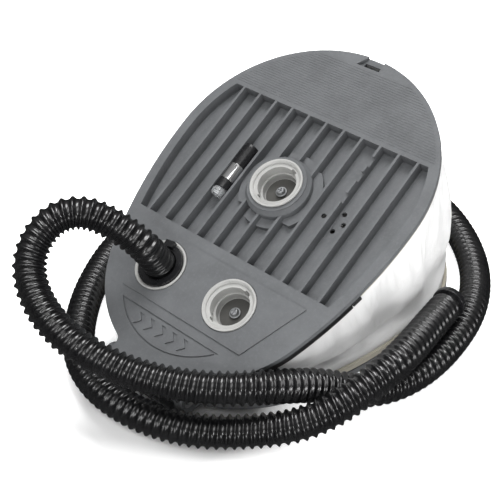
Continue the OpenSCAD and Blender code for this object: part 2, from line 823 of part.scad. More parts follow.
module adapter_body() {
    color([0.05, 0.05, 0.05]) along_adapter(adapter_y + 6.4) {
        tube(6.4, 3.2, 0, 7.4);
        tube(5.4, 3.2, 7.4, 21.6);
        tube(6.4, 3.2, 21.6, 39);
        tube(5.8, 3.2, 39, 41);
    }
}

module adapter_ferrule() {
    color("silver") along_adapter(adapter_y + 13.9) tube(6.6, 5.5, 0, 14);
}

module adapter_tip() {
    color([0.8, 0.85, 0.85, 0.6]) along_adapter(adapter_y) {
        tube(5.2, 2.5, 0, 6.3);
        tube(6, 2.5, 3, 4.5);
    }
}

// --- Storage latch on the heel, drawn upright and then leant back about its pin
module latch_hook() {
    color("dimgray") translate([latch_x, latch_y, latch_z]) rotate([-latch_lean, 0, 0]) difference() {
        translate([-latch_w / 2, 0, 0]) {
            bar_x(4, 0, latch_w);
            translate([0, -1.5, 0]) cube([latch_w, 3.5, 29]);
            translate([0, -11.5, 25.5]) cube([latch_w, 13.5, 3.5]);
        }
        bar_x(1.55, -latch_w, latch_w);
    }
}

base_plate();
base_feet();
hinge_pin();
pin_clips();
lower_clamp_band();
lower_spring_cup();
latch_pin();
bellows();
return_spring();
hose();
hose_end_cuff();
pedal_plate();
upper_clamp_bead();
nose_seal();
seal_clips();
hose_port_sleeve();
spare_port_sleeve();
centre_port_sleeve();
port_gaskets();
port_ring_nuts();
upper_spring_cup();
valve_screws();
valve_washers();
relief_housing();
relief_spring();
suction_flap();
outlet_flap();
centre_flap();
relief_poppet();
hose_connector();
connector_seal();
adapter_body();
adapter_ferrule();
adapter_tip();
latch_hook();
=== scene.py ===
"""Looks for the foot bellows pump: materials, rounded edges, ribbed hose, bellows, springs, stage."""

import json
import math

import bmesh
import bpy
import numpy as np
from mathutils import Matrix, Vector
from mathutils import noise as noise_field


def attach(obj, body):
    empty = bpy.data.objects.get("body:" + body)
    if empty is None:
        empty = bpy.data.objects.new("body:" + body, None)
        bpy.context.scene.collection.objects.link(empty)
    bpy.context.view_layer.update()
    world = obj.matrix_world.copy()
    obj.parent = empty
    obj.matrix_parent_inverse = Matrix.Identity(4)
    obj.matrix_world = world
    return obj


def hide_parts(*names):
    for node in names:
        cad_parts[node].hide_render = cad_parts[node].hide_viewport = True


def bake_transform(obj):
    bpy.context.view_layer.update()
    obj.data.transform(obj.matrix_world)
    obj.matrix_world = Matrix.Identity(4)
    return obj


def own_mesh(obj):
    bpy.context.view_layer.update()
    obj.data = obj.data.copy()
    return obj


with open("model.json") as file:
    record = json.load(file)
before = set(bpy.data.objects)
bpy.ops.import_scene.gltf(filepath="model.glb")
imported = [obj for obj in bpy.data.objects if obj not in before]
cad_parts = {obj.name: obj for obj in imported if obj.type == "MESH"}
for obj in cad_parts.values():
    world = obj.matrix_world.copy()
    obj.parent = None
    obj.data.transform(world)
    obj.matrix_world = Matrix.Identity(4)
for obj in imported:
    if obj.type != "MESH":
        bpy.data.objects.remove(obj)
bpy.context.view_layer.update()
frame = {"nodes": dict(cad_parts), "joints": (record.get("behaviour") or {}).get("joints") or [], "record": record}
scene = bpy.context.scene
nodes = frame["nodes"]
joints = {joint["name"]: joint for joint in frame["joints"]}
slot_of = {part["node"]: part["material_slot"] for part in frame["record"]["subparts"]}

MM = 0.001

# The fold between base and pedal, read from the frame: it opens about the x axis at HINGE, and
# its crease lies halfway between the two
HINGE = (0, 0, joints["pedal_hinge"]["pos_m"][2])
PEDAL_UP = Vector(joints["adapter_lift"]["axis"]).normalized()
OPEN_ANGLE = math.atan2(-PEDAL_UP.y, PEDAL_UP.z)
CREASE = OPEN_ANGLE / 2
CREASE_UP = (0, -math.sin(CREASE), math.cos(CREASE))


# ---------------------------------------------------------------------------- node helpers
def wire(tree, node, **sources):
    """Sets inputs of a node, their names spelled with underscores, from outputs or plain values."""
    for key, source in sources.items():
        socket = node.inputs[key.replace("_", " ")]
        if isinstance(source, bpy.types.NodeSocket):
            tree.links.new(source, socket)
        else:
            socket.default_value = source


def new_material(name):
    """An empty node material with a Principled shader wired to its output."""
    mat = bpy.data.materials.new(name)
    mat.use_nodes = True
    tree = mat.node_tree
    tree.nodes.clear()
    out = tree.nodes.new("ShaderNodeOutputMaterial")
    shader = tree.nodes.new("ShaderNodeBsdfPrincipled")
    tree.links.new(shader.outputs[0], out.inputs[0])
    return mat, tree, shader


def ramp(tree, source, low, high):
    """A ramp between two (place, value) stops; a value is a grey or a colour."""
    node = tree.nodes.new("ShaderNodeValToRGB")
    tree.links.new(source, node.inputs[0])
    for element, (place, value) in zip(node.color_ramp.elements, (low, high)):
        element.position = place
        element.color = (*value, 1) if isinstance(value, tuple) else (value, value, value, 1)
    return node.outputs[0]


def coordinates(tree):
    return tree.nodes.new("ShaderNodeTexCoord").outputs["Object"]


def noise(tree, scale, detail, roughness=0.5, vector=None):
    node = tree.nodes.new("ShaderNodeTexNoise")
    wire(tree, node, Scale=scale, Detail=detail, Roughness=roughness)
    wire(tree, node, Vector=vector or coordinates(tree))
    return node.outputs[0]


def bump(tree, height, distance, strength=1.0):
    node = tree.nodes.new("ShaderNodeBump")
    wire(tree, node, Strength=strength, Distance=distance, Height=height)
    return node.outputs[0]


def mix_colour(tree, factor, a, b):
    """A colour between a and b; each of them is a colour or the output of another node."""
    node = tree.nodes.new("ShaderNodeMix")
    node.data_type = "RGBA"
    factor_in, a_in, b_in, colour_out = node.inputs[0], node.inputs[6], node.inputs[7], node.outputs[2]
    tree.links.new(factor, factor_in)
    for value, socket in ((a, a_in), (b, b_in)):
        if isinstance(value, bpy.types.NodeSocket):
            tree.links.new(value, socket)
        else:
            socket.default_value = (*value, 1)
    return colour_out


def shaded(colour, share):
    return [channel * share for channel in colour]


# ---------------------------------------------------------------------------- materials
def moulded_plastic(name, colour, rough):
    """Satin moulded plastic: spark-eroded grain, cloudy flow marks and fine handling scuffs."""
    mat, tree, shader = new_material(name)
    mottle = 0.16
    flow = ramp(tree, noise(tree, 38, 6, 0.62), (0.36, 0.0), (0.64, 1.0))
    scuffs = ramp(tree, noise(tree, 420, 5, 0.7), (0.5, 0.0), (0.72, 0.55))
    mottled = mix_colour(tree, flow, shaded(colour, 1 - mottle), colour)
    wire(
        tree,
        shader,
        Base_Color=mix_colour(tree, scuffs, mottled, shaded(colour, 1 + mottle)),
        Roughness=ramp(tree, flow, (0.0, rough + 0.05), (1.0, rough - 0.05)),
        Normal=bump(tree, noise(tree, 1500, 3), 0.05 * MM),
        Specular_IOR_Level=0.25,
    )
    return mat


def glossy_plastic(name, colour, rough):
    """Smooth injection-moulded plastic with a soft flow ripple and patchy gloss."""
    mat, tree, shader = new_material(name)
    cloud = ramp(tree, noise(tree, 60, 3), (0.3, 0.0), (0.7, 1.0))
    wire(
        tree,
        shader,
        Base_Color=mix_colour(tree, cloud, shaded(colour, 0.86), colour),
        Roughness=ramp(tree, noise(tree, 240, 3), (0.3, rough * 0.8), (0.75, rough * 1.25)),
        Normal=bump(tree, noise(tree, 700, 2), 0.02 * MM),
    )
    return mat


def rubber(name, colour, rough):
    """Matt rubber with a fine pebble and a trace of grey bloom."""
    mat, tree, shader = new_material(name)
    bloom = ramp(tree, noise(tree, 45, 5), (0.45, 0.0), (0.75, 0.35))
    bloomed = [channel * 2.2 + 0.03 for channel in colour]
    wire(
        tree,
        shader,
        Base_Color=mix_colour(tree, bloom, colour, bloomed),
        Roughness=rough,
        Normal=bump(tree, noise(tree, 1800, 3), 0.04 * MM),
    )
    return mat


def metal(name, colour, rough, stretch=(1, 1, 1)):
    """Metal with fine drawn lines, long where stretch is small, and patchy polish."""
    mat, tree, shader = new_material(name)
    mapping = tree.nodes.new("ShaderNodeMapping")
    wire(tree, mapping, Scale=stretch, Vector=coordinates(tree))
    lines = noise(tree, 900, 3, 0.6, mapping.outputs[0])
    polish = ramp(tree, lines, (0.3, 0.0), (0.7, 1.0))
    wire(
        tree,
        shader,
        Base_Color=mix_colour(tree, polish, shaded(colour, 0.8), colour),
        Metallic=1.0,
        Roughness=ramp(tree, noise(tree, 160, 4), (0.3, rough), (0.8, rough * 1.8)),
        Normal=bump(tree, lines, 0.01 * MM),
    )
    return mat


def clear_plastic(name):
    """Cloudy see-through plastic with a slight ripple."""
    mat, tree, shader = new_material(name)
    wire(
        tree,
        shader,
        Transmission_Weight=0.75,
        IOR=1.49,
        Base_Color=ramp(tree, noise(tree, 120, 3), (0.3, (0.72, 0.74, 0.76)), (0.8, (0.9, 0.91, 0.92))),
        Roughness=ramp(tree, noise(tree, 300, 3), (0.3, 0.12), (0.8, 0.3)),
        Normal=bump(tree, noise(tree, 500, 2), 0.03 * MM),
    )
    return mat


def woven_height(tree):
    """Height of a plain weave: two sets of threads, the higher one showing."""
    cross = tree.nodes.new("ShaderNodeMath")
    cross.operation = "MAXIMUM"
    place = coordinates(tree)
    for direction, socket in zip(("X", "Z"), cross.inputs):
        threads = tree.nodes.new("ShaderNodeTexWave")
        threads.wave_type = "BANDS"
        threads.bands_direction = direction
        wire(tree, threads, Scale=520, Distortion=0.6, Vector=place)
        tree.links.new(threads.outputs[1], socket)
    return cross.outputs[0]


def coated_fabric(name):
    """White coated cloth: a fine weave under a satin film, slightly crumpled and clouded."""
    mat, tree, shader = new_material(name)
    crumple = bump(tree, noise(tree, 85, 4, 0.55), 0.5 * MM, 0.6)
    weave = bump(tree, woven_height(tree), 0.035 * MM, 0.7)
    wire(tree, weave.node, Normal=crumple)
    wire(
        tree,
        shader,
        Base_Color=ramp(tree, noise(tree, 18, 5), (0.3, (0.78, 0.78, 0.78)), (0.7, (0.86, 0.86, 0.855))),
        Roughness=ramp(tree, noise(tree, 70, 4), (0.3, 0.34), (0.8, 0.52)),
        Normal=weave,
        Sheen_Weight=0.15,
        Subsurface_Weight=0.15,
        Subsurface_Radius=(4 * MM, 4 * MM, 4 * MM),
    )
    return mat


def hose_material(name):
    """Black extruded plastic: glossy, a little smudged, with a very fine grain."""
    mat, tree, shader = new_material(name)
    smudge = noise(tree, 55, 5)
    wire(
        tree,
        shader,
        Base_Color=ramp(tree, smudge, (0.3, (0.003, 0.003, 0.0035)), (0.75, (0.009, 0.009, 0.0095))),
        Roughness=ramp(tree, noise(tree, 70, 3), (0.3, 0.2), (0.75, 0.27)),
        Normal=bump(tree, noise(tree, 1600, 2), 0.004 * MM),
        Specular_IOR_Level=0.75,
    )
    return mat


MATERIALS = {
    "pedal_plastic": moulded_plastic("pedal_plastic", (0.128, 0.133, 0.139), 0.55),
    "base_plastic": moulded_plastic("base_plastic", (0.16, 0.166, 0.172), 0.5),
    "white_plastic": glossy_plastic("white_plastic", (0.43, 0.43, 0.418), 0.34),
    "bead_plastic": glossy_plastic("bead_plastic", (0.5, 0.47, 0.39), 0.4),
    "black_plastic": glossy_plastic("black_plastic", (0.01, 0.01, 0.011), 0.24),
    "hose_plastic": hose_material("hose_plastic"),
    "seal_rubber": rubber("seal_rubber", (0.012, 0.012, 0.012), 0.5),
    "flap_rubber": rubber("flap_rubber", (0.045, 0.044, 0.04), 0.62),
    "bellows_fabric": coated_fabric("bellows_fabric"),
    "steel": metal("steel", (0.42, 0.43, 0.44), 0.3),
    "spring_steel": metal("spring_steel", (0.5, 0.5, 0.5), 0.28),
    "chrome_ferrule": metal("chrome_ferrule", (0.9, 0.9, 0.9), 0.07, (1, 0.02, 0.02)),
    "clear_plastic": clear_plastic("clear_plastic"),
}


def dress(obj, slot_name):
    obj.data.materials.clear()
    obj.data.materials.append(MATERIALS[slot_name])


# ---------------------------------------------------------------------------- CAD nodes
WELD_REACH = 0.002 * MM
EDGE_ANGLE = math.radians(35)
EDGE_SEGMENTS = 2

# Edge rounding of each node, in millimetres; a node left out keeps its edges
EDGE_ROUNDING = {
    "pedal_plate": 0.45, "hose_port_sleeve": 0.5, "spare_port_sleeve": 0.5,
    "centre_port_sleeve": 0.5, "hose_connector": 0.35, "adapter_body": 0.35,
    "adapter_ferrule": 0.25, "adapter_tip": 0.35, "base_plate": 0.5, "upper_clamp_bead": 0.4,
    "lower_clamp_band": 0.4, "valve_screws": 0.12, "valve_washers": 0.15, "latch_hook": 0.4,
    "hose_end_cuff": 0.6, "port_ring_nuts": 0.4, "base_feet": 0.5, "seal_clips": 0.3,
    "nose_seal": 0.4, "outlet_flap": 0.2, "centre_flap": 0.2, "suction_flap": 0.2,
    "pin_clips": 0.2, "hinge_pin": 0.3, "latch_pin": 0.2, "upper_spring_cup": 0.3,
    "lower_spring_cup": 0.3, "relief_housing": 0.3, "relief_poppet": 0.2,
}


def finish_cad_node(name):
    """A CAD node keeps its mesh; modifiers weld it and round its edges."""
    obj = nodes[name]
    dress(obj, slot_of[name])
    if name not in EDGE_ROUNDING:
        return
    weld = obj.modifiers.new("weld", "WELD")
    weld.merge_threshold = WELD_REACH
    bevel = obj.modifiers.new("rounded_edges", "BEVEL")
    bevel.width = EDGE_ROUNDING[name] * MM
    bevel.segments = EDGE_SEGMENTS
    bevel.limit_method = "ANGLE"
    bevel.angle_limit = EDGE_ANGLE
    bevel.use_clamp_overlap = True
    smooth = obj.modifiers.new("weighted", "WEIGHTED_NORMAL")
    smooth.keep_sharp = False


# ---------------------------------------------------------------------------- mesh helpers
WELD_DIGITS = 6


def mesh_object(name, points, faces, slot_name):
    """A smooth-shaded object in the given material."""
    mesh = bpy.data.meshes.new(name)
    mesh.from_pydata([tuple(p) for p in points], [], faces)
    mesh.update()
    obj = bpy.data.objects.new(name, mesh)
    scene.collection.objects.link(obj)
    dress(obj, slot_name)
    mesh.polygons.foreach_set("use_smooth", [True] * len(mesh.polygons))
    return obj


def grid_faces(rows, count):
    """Quads between closed rows of count points each."""
    return [
        (j * count + i, j * count + (i + 1) % count, (j + 1) * count + (i + 1) % count, (j + 1) * count + i)
        for j in range(rows - 1)
        for i in range(count)
    ]


def welded(obj):
    """A mesh's unique points, and its triangles as indices into them."""
    mesh = obj.data
    mesh.calc_loop_triangles()
    co = np.array([v.co for v in mesh.vertices])
    keys, index = {}, []
    for p in np.round(co, WELD_DIGITS):
        index.append(keys.setdefault(tuple(p), len(keys)))
    points = np.array(list(keys))
    triangles = [[index[v] for v in t.vertices] for t in mesh.loop_triangles]
    return points, [t for t in triangles if len(set(t)) == 3]


def neighbours(count, triangles):
    """For each point, the points it shares an edge with."""
    links = [set() for _ in range(count)]
    for a, b, c in triangles:
        links[a] |= {b, c}
        links[b] |= {a, c}
        links[c] |= {a, b}
    return links


def skin_rings(first, blocked, links):
    """Rings of a skin, found by stepping outwards from its first ring, past blocked points."""
    seen = set(first) | set(blocked)
    rings = [list(first)]
    while True:
        step = {n for v in rings[-1] for n in links[v]} - seen
        if not step:
            return rings
        seen |= step
        rings.append(sorted(step))


def curve_between(a, b, c, d, t):
    """The smooth curve through four points (Catmull-Rom), at t between b and c."""
    square = 2 * a - 5 * b + 4 * c - d
    cube = 3 * b - a - 3 * c + d
    return 0.5 * (2 * b + (c - a) * t + square * t**2 + cube * t**3)


def along_curve(points, samples):
    """Points on a smooth open curve through the given points, at fractional indices."""
    padded = np.vstack([2 * points[0] - points[1], points, 2 * points[-1] - points[-2]])
    i = np.clip(np.floor(samples).astype(int), 0, len(points) - 2)
    t = (samples - i)[:, None]
    return curve_between(*(padded[i + k] for k in range(4)), t)


def around_ring(points, count):
    """A closed ring of points resampled smoothly to count points."""
    n = len(points)
    at = np.arange(count) * n / count
    i, t = np.floor(at).astype(int), (at % 1)[:, None]
    return curve_between(*(points[(i + k) % n] for k in (-1, 0, 1, 2)), t)


def ease(share):
    """Smooth step: 0 at 0 and 1 at 1, level at both ends."""
    return share * share * (3 - 2 * share)


# ---------------------------------------------------------------------------- hose
RIB_PITCH = 5.85 * MM
RIB_HEIGHT = 2.1 * MM
RIB_SHARE = 0.85  # part of the pitch that a ridge takes up
RIB_SHARPNESS = 1.3
STATIONS_PER_RIB = 10
HOSE_SIDES = 36
RIB_FADE = 6 * MM  # the ribs rise from nothing over this length at both ends
BORE_SHARE = 0.78  # bore radius over hose radius
BORE_STATIONS = 18  # depth of the open bore at each end
CAD_HOSE_SIDES = 14
PATH_SAMPLES = 12  # fine points per CAD station
SAME_PLANE = 0.99999  # least cosine between the normals of one flat face
THIN_RING = 0.6  # least inner radius over outer radius of an end ring
DROP_LENGTH = 27 * MM  # a drop below the port; build_hose works out a drop vector from it, which nothing uses
DROP_DIRECTION = (0.15, 0.25, -1.0)


def flat_group(start, triangles, normal, by_point):
    """The triangles joined to start that lie in its plane."""
    group, queue = {start}, [start]
    while queue:
        for v in triangles[queue.pop()]:
            for other in by_point[v]:
                if other not in group and normal[other] @ normal[start] > SAME_PLANE:
                    group.add(other)
                    queue.append(other)
    return group


def end_rings(points, triangles, sides):
    """The two flat ends of a tube, as (outer points, inner points, centre, outer radius)."""
    tri = np.array(triangles)
    normal = np.cross(points[tri[:, 1]] - points[tri[:, 0]], points[tri[:, 2]] - points[tri[:, 0]])
    normal /= np.linalg.norm(normal, axis=1)[:, None]
    by_point = {}
    for index, t in enumerate(triangles):
        for v in t:
            by_point.setdefault(v, []).append(index)
    used, rings = set(), []
    for start in range(len(triangles)):
        if start in used:
            continue
        group = flat_group(start, triangles, normal, by_point)
        used |= group
        members = sorted({v for t in group for v in triangles[t]})
        centre = points[members].mean(0)
        reach = np.linalg.norm(points[members] - centre, axis=1)
        if len(members) == 2 * sides and reach.min() > THIN_RING * reach.max():
            limit = (reach.min() + reach.max()) / 2
            outer = [v for v, r in zip(members, reach) if r > limit]
            inner = [v for v, r in zip(members, reach) if r <= limit]
            rings.append((outer, inner, centre, reach.max()))
    return rings


def hose_centreline(node):
    """The CAD hose's centreline, from its port end to its free end, and its radius."""
    points, triangles = welded(nodes[node])
    port_end, free_end = sorted(
        end_rings(points, triangles, CAD_HOSE_SIDES),
        key=lambda ring: -ring[2][2],
    )
    blocked = port_end[1] + free_end[1]
    rings = skin_rings(port_end[0], blocked, neighbours(len(points), triangles))
    return np.array([points[r].mean(0) for r in rings]), port_end[3]


def resample(path, spacing):
    """Evenly spaced points along a smooth curve through path, and their distances along it."""
    dense = along_curve(path, np.linspace(0, len(path) - 1, len(path) * PATH_SAMPLES))
    run = np.r_[0, np.cumsum(np.linalg.norm(np.diff(dense, axis=0), axis=1))]
    steps = int(round(run[-1] / spacing))
    at = np.linspace(0, run[-1], steps + 1)
    return np.stack([np.interp(at, run, dense[:, k]) for k in range(3)], axis=1), at


def carried_frames(path):
    """Side and cross vectors along a path, without twist."""
    tangent = np.gradient(path, axis=0)
    tangent /= np.linalg.norm(tangent, axis=1)[:, None]
    side = np.array([1.0, 0, 0])
    sides = []
    for t in tangent:
        side = side - (side @ t) * t
        side /= np.linalg.norm(side)
        sides.append(side)
    sides = np.array(sides)
    return sides, np.cross(tangent, sides)


def rib_profile(phase):
    """Height of the ribbed wall at a phase: a soft wave that sharpens into a narrow ridge."""
    x = np.minimum(np.abs((phase % 1.0) - 0.5) * 2 / RIB_SHARE, 1)
    return (0.5 * (1 + np.cos(np.pi * x))) ** RIB_SHARPNESS


def ribbed_hose(path, radius):
    """Swept skin with a spiral ridge, ending in a short open bore at both ends."""
    line, run = resample(path, RIB_PITCH / STATIONS_PER_RIB)
    side, cross = carried_frames(line)
    angle = np.linspace(0, 2 * np.pi, HOSE_SIDES, endpoint=False)
    phase = run[:, None] / RIB_PITCH + angle[None, :] / (2 * np.pi)
    fade = np.clip(np.minimum(run, run[-1] - run) / RIB_FADE, 0, 1)[:, None]
    reach = radius - RIB_HEIGHT + RIB_HEIGHT * rib_profile(phase) * fade
    turn_side, turn_cross = np.cos(angle)[None, :, None], np.sin(angle)[None, :, None]
    spokes = side[:, None, :] * turn_side + cross[:, None, :] * turn_cross
    outer = line[:, None, :] + spokes * reach[:, :, None]
    bore_at = (BORE_STATIONS, 0, -1, -1 - BORE_STATIONS)
    bore = [line[at] + spokes[at] * radius * BORE_SHARE for at in bore_at]
    rows = [*bore[:2], *outer, *bore[2:]]
    last = (len(rows) - 1) * HOSE_SIDES
    faces = grid_faces(len(rows), HOSE_SIDES)
    faces.append(tuple(reversed(range(HOSE_SIDES))))
    faces.append(tuple(range(last, last + HOSE_SIDES)))
    return np.concatenate(rows), faces


def build_hose():
    path, radius = hose_centreline("hose")
    points, faces = ribbed_hose(path, radius)
    hose = mesh_object("ribbed_hose", points, faces, "hose_plastic")
    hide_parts("hose")
    drop = np.array(DROP_DIRECTION)
    drop *= DROP_LENGTH / (drop @ drop)
    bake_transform(hose)


# ---------------------------------------------------------------------------- bellows
AROUND = 384
HEM_ROWS = 3
FOLD_ROWS = 20
COLUMN_SAMPLES = 30
FLOOR_SLICE = 0.01 * MM
LARGE_CREASE = (26 * MM, 0.45)  # size of the large wrinkles, and how much taller they are
SMALL_CREASE = (11 * MM, 0.5)  # size and share of the small wrinkles
SEED_HEIGHT = 0.5 * MM
HELD_SHARE = 0.02
HEM_FADE = 4.0  # rows over which the wrinkles die out at the hems and at the crease
NOSE_CALM = 30 * MM  # up to this distance from the hinge the fabric stays plain
NOSE_FADE = 70 * MM
WRINKLE_OUT = 2.4 * MM
WRINKLE_IN = 5.0 * MM
WRINKLE_SIDE = 2 * MM
TINY = 1e-9
CLOTH_FRAMES = 26
CLOTH_SLACK = -0.03


def by_bearing(points, members, centre):
    """Members in the order of their bearing from centre."""
    return sorted(members, key=lambda i: math.atan2(points[i, 0] - centre[0], points[i, 1] - centre[1]))


def bellows_columns(node):
    """Outer skin of the CAD bellows as columns of points, lowest first: array [side, level, xyz]."""
    points, triangles = welded(nodes[node])
    low = points[:, 2].min()
    floor = [i for i in range(len(points)) if points[i, 2] < low + FLOOR_SLICE]
    centre = points[floor].mean(0)
    reach = np.linalg.norm((points - centre)[:, :2], axis=1)
    floor = by_bearing(points, floor, centre)
    pairs = [sorted(floor[k : k + 2], key=lambda i: reach[i]) for k in range(0, len(floor), 2)]
    inner, outer = zip(*pairs)
    rings = skin_rings(outer, inner, neighbours(len(points), triangles))
    rings = rings[: (len(rings) + 1) // 2]
    ordered = [by_bearing(points, ring, points[ring].mean(0)) for ring in rings]
    return np.array([points[ring] for ring in ordered]).transpose(1, 0, 2)


def cut_column(column):
    """Rows of one column: lower hem, two folds parted at the crease plane, and upper hem."""
    fine = along_curve(column, np.linspace(0, len(column) - 1, (len(column) - 1) * COLUMN_SAMPLES + 1))
    step = np.arange(len(fine))
    rise = fine[:, 2] - HINGE[2]
    fan = np.arctan2(rise, fine[:, 1])
    above = (fine - HINGE) @ np.array(PEDAL_UP)
    on_low = np.interp(0.0, rise, step)
    on_crease = np.interp(CREASE, fan, step)
    on_top = np.interp(0.0, above, step)
    stops = np.concatenate([
        np.linspace(0, on_low, HEM_ROWS + 1)[:-1],
        np.linspace(on_low, on_crease, FOLD_ROWS + 1)[:-1],
        np.linspace(on_crease, on_top, FOLD_ROWS + 1)[:-1],
        np.linspace(on_top, len(fine) - 1, HEM_ROWS + 1),
    ])
    return np.stack([np.interp(stops, step, fine[:, k]) for k in range(3)], axis=1)


def vertex_normals(points, faces):
    quad = np.array(faces)
    across = np.cross(points[quad[:, 2]] - points[quad[:, 0]], points[quad[:, 3]] - points[quad[:, 1]])
    total = np.zeros_like(points)
    for k in range(4):
        np.add.at(total, quad[:, k], across)
    return total / np.linalg.norm(total, axis=1)[:, None]


def facing_out(points, faces):
    """The faces, turned to look away from the middle, and the normals of their points."""
    normal = vertex_normals(points, faces)
    if (normal * (points - points.mean(0))).sum() < 0:
        return [tuple(reversed(face)) for face in faces], -normal
    return faces, normal


def soft_noise(points, size, seed):
    """Smooth noise in -1..1 at each point."""
    shift = Vector((seed * 3.1, seed * 7.7, seed * 1.3))
    return np.array([noise_field.noise(Vector(p) / size + shift) for p in points])


def drape(points, faces, held):
    """The fabric after a short cloth simulation: held at its hems, a little slack in between."""
    mesh = bpy.data.meshes.new("cloth_run")
    mesh.from_pydata([tuple(p) for p in points], [], faces)
    cloth = bpy.data.objects.new("cloth_run", mesh)
    scene.collection.objects.link(cloth)
    group = cloth.vertex_groups.new(name="held")
    group.add([int(index) for index in np.flatnonzero(held)], 1.0, "REPLACE")
    modifier = cloth.modifiers.new("cloth", "CLOTH")
    fabric = modifier.settings
    fabric.quality = 6
    fabric.mass = 0.15
    fabric.tension_stiffness = 40
    fabric.compression_stiffness = 40
    fabric.shear_stiffness = 12
    fabric.bending_stiffness = 0.6
    fabric.shrink_min = CLOTH_SLACK
    fabric.shrink_max = CLOTH_SLACK
    fabric.vertex_group_mass = "held"
    fabric.effector_weights.gravity = 0.25
    modifier.collision_settings.use_collision = False
    modifier.collision_settings.use_self_collision = False
    modifier.point_cache.frame_start = 1
    modifier.point_cache.frame_end = CLOTH_FRAMES
    for step in range(1, CLOTH_FRAMES + 1):
        scene.frame_set(step)
    graph = bpy.context.evaluated_depsgraph_get()
    done = cloth.evaluated_get(graph).to_mesh()
    result = np.array([v.co for v in done.vertices])
    cloth.evaluated_get(graph).to_mesh_clear()
    bpy.data.objects.remove(cloth)
    scene.frame_set(1)
    return result


def limited(values, limit):
    """Values pressed softly below a limit, positive or negative."""
    return limit * np.tanh(values / limit)


def wrinkled(points, faces, normal, row):
    """The fabric with its wrinkles: none at the hems and the nose, and the crease kept flat."""
    first, crease, last = HEM_ROWS, HEM_ROWS + FOLD_ROWS, HEM_ROWS + 2 * FOLD_ROWS
    free = ease(np.clip(np.minimum(row - first, last - row) / HEM_FADE, 0, 1))
    free = free * np.clip((points[:, 1] - NOSE_CALM) / NOSE_FADE, 0, 1)
    (large_size, tall), (small_size, small_share) = LARGE_CREASE, SMALL_CREASE
    seed = soft_noise(points * [1, 1, tall], large_size, 1) + small_share * soft_noise(points, small_size, 2)
    start = points + normal * (seed * free * SEED_HEIGHT)[:, None]
    end = drape(start, faces, free < HELD_SHARE)
    moved = end - points
    along = (moved * normal).sum(1)
    side = moved - along[:, None] * normal
    along = np.where(along > 0, limited(along, WRINKLE_OUT), limited(along, WRINKLE_IN))
    reach = np.linalg.norm(side, axis=1)
    side *= (limited(reach, WRINKLE_SIDE) / np.maximum(reach, TINY))[:, None]
    moved = (normal * along[:, None] + side) * free[:, None]
    up = np.array(CREASE_UP)
    near = ease(np.clip(1 - np.abs(row - crease) / HEM_FADE, 0, 1))
    moved -= ((moved @ up) * near)[:, None] * up
    return points + moved


def fabric_band(name, low, high, points, faces, normal):
    """The rows from low to high of the fabric as their own piece."""
    start, stop = low * AROUND, (high + 1) * AROUND
    own = [tuple(v - start for v in face) for face in faces[start : high * AROUND]]
    band = mesh_object(name, points[start:stop], own, "bellows_fabric")
    band.data.normals_split_custom_set_from_vertices([tuple(n) for n in normal[start:stop]])
    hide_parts("bellows")
    return band


def build_bellows():
    """The bellows in four bands attached to the base or the pedal: two hems, and two folds parted at the crease,
    each fold with a mesh of its own.
    """
    cut = np.array([cut_column(column) for column in bellows_columns("bellows")])
    count = cut.shape[1]
    points = np.concatenate([around_ring(cut[:, j], AROUND) for j in range(count)])
    faces, normal = facing_out(points, grid_faces(count, AROUND))
    points = wrinkled(points, faces, normal, np.repeat(np.arange(count), AROUND))
    normal = vertex_normals(points, faces)
    bands = (
        ("bellows_lower_hem", HEM_ROWS, "base", None),
        ("bellows_lower_fold", FOLD_ROWS, "base", (0, 0, 1)),
        ("bellows_upper_fold", FOLD_ROWS, "pedal", tuple(PEDAL_UP)),
        ("bellows_upper_hem", HEM_ROWS, "pedal", None),
    )
    low = 0
    for name, rows, body, squash_axis in bands:
        band = fabric_band(name, low, low + rows, points, faces, normal)
        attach(band, body)
        if squash_axis is not None:
            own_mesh(band)
        low += rows


def slice_of(node, name, planes):
    """A copy of a CAD node's mesh, cut to the side each plane's normal points to."""
    points, triangles = welded(nodes[node])
    obj = mesh_object(name, points, triangles, slot_of[node])
    shell = bmesh.new()
    shell.from_mesh(obj.data)
    for place, normal in planes:
        everything = shell.verts[:] + shell.edges[:] + shell.faces[:]
        bmesh.ops.bisect_plane(shell, geom=everything, plane_co=place, plane_no=normal, clear_inner=True)
    shell.to_mesh(obj.data)
    shell.free()
    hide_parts(node)
    return obj


def build_return_spring():
    """The return spring in three parts cut at the hinge and crease planes: a foot and a lower part attached to the
    base, and an upper part attached to the pedal; the lower and upper parts get meshes of their own.
    """
    below_crease = tuple(-v for v in CREASE_UP)
    foot = slice_of("return_spring", "return_spring_foot", [(HINGE, (0, 0, -1))])
    lower = slice_of("return_spring", "return_spring_lower", [(HINGE, (0, 0, 1)), (HINGE, below_crease)])
    upper = slice_of("return_spring", "return_spring_upper", [(HINGE, CREASE_UP)])
    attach(foot, "base")
    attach(lower, "base")
    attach(upper, "pedal")
    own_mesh(lower)
    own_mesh(upper)


def build_relief_spring():
    """The relief spring, which the poppet presses towards its upper end, copied whole and attached to the pedal
    with a mesh of its own.
    """
    coil = slice_of("relief_spring", "relief_spring_coil", [])
    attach(coil, "pedal")
    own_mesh(coil)


# ---------------------------------------------------------------------------- stage
FLOOR_REACH = 6.0
FLOOR_GLOW = 0.85
FLOOR_GLOSS = 0.09  # floor as glossy surfaces see it
SHADE_CENTRE = (0.02, 0.0, 0.0)  # the floor does not glow under the nose
SHADE_REACH = 0.06
SHADE_FADE = 1.6  # the glow is full at this many times SHADE_REACH
ROOM_HORIZON = 0.85
ROOM_TOP = 0.3
ROOM_GLOSS = 0.3  # room as glossy surfaces see it


def dim_in_reflections(tree, seen, reflected, out):
    """Shows one shader to the camera and to soft light, and another in glossy reflections."""
    rays = tree.nodes.new("ShaderNodeLightPath")
    pick = tree.nodes.new("ShaderNodeMixShader")
    tree.links.new(rays.outputs["Is Glossy Ray"], pick.inputs[0])
    tree.links.new(seen, pick.inputs[1])
    tree.links.new(reflected, pick.inputs[2])
    tree.links.new(pick.outputs[0], out.inputs[0])


